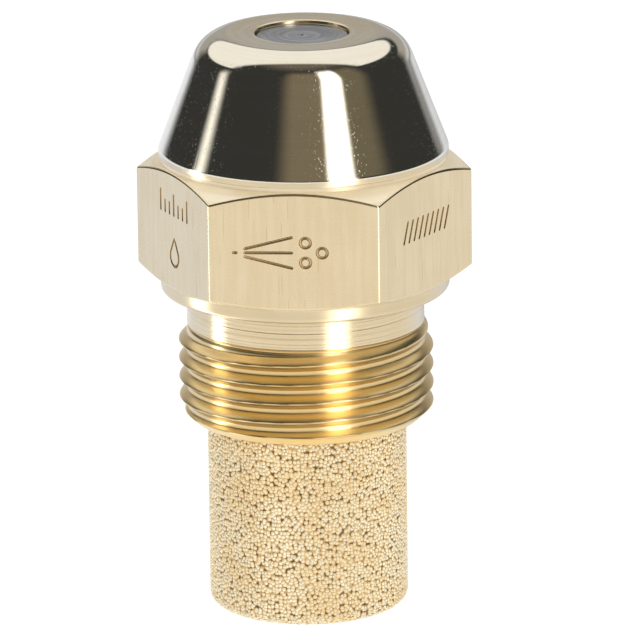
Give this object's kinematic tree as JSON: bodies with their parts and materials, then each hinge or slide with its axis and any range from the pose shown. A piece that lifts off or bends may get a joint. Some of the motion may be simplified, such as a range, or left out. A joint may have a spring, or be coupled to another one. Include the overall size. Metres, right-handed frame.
{
  "type": "oil burner nozzle",
  "caption": "Brass oil burner nozzle: polished conical head with a steel orifice disc, hexagon, threaded shank and a sintered bronze filter cup.",
  "frame": {"origin": "centre of the filter's closed lower end, on the nozzle's axis; the sealing rim lies 10.7 mm above it", "axes": "+Z along the axis from the filter towards the orifice and the spray; +Y is the outward normal of a flat of the hexagon, opposite the one with the spray mark"},
  "size_m": [0.0182, 0.0158, 0.0322],
  "materials": {
    "body_brass": "pale turned brass: mirror-polished cone, brushed flats, rolled thread",
    "disc_steel": "lapped stainless steel",
    "cone_steel": "ground stainless steel",
    "screw_brass": "machined brass",
    "filter_bronze": "sintered bronze spheres, porous"
  },
  "bodies": {
    "housing": {"nozzle_body": "body_brass"},
    "disc": {"orifice_disc": "disc_steel"},
    "cone": {"swirl_cone": "cone_steel"},
    "screw": {"retaining_screw": "screw_brass"},
    "filter": {"sintered_filter": "filter_bronze"}
  },
  "joints": [
    {"name": "disc_drop", "type": "slide", "parent": "housing", "child": "disc", "axis": [0, 0, -1], "range_m": [0, 0.0216]},
    {"name": "cone_drop", "type": "slide", "parent": "housing", "child": "cone", "axis": [0, 0, -1], "range_m": [0, 0.0241]},
    {"name": "screw_turn", "type": "hinge", "parent": "cone", "child": "screw", "pos_m": [0, 0, 0.02], "axis": [0, 0, -1], "range_deg": [0, 8676]},
    {"name": "filter_pull", "type": "slide", "parent": "screw", "child": "filter", "axis": [0, 0, -1], "range_m": [0, 0.0055]}
  ],
  "couplings": [
    {"joint": "screw_turn", "follows": "cone_drop", "rad_per_m": 6283.2},
    {"joint": "disc_drop", "follows": "cone_drop", "ratio": 0.8958}
  ]
}
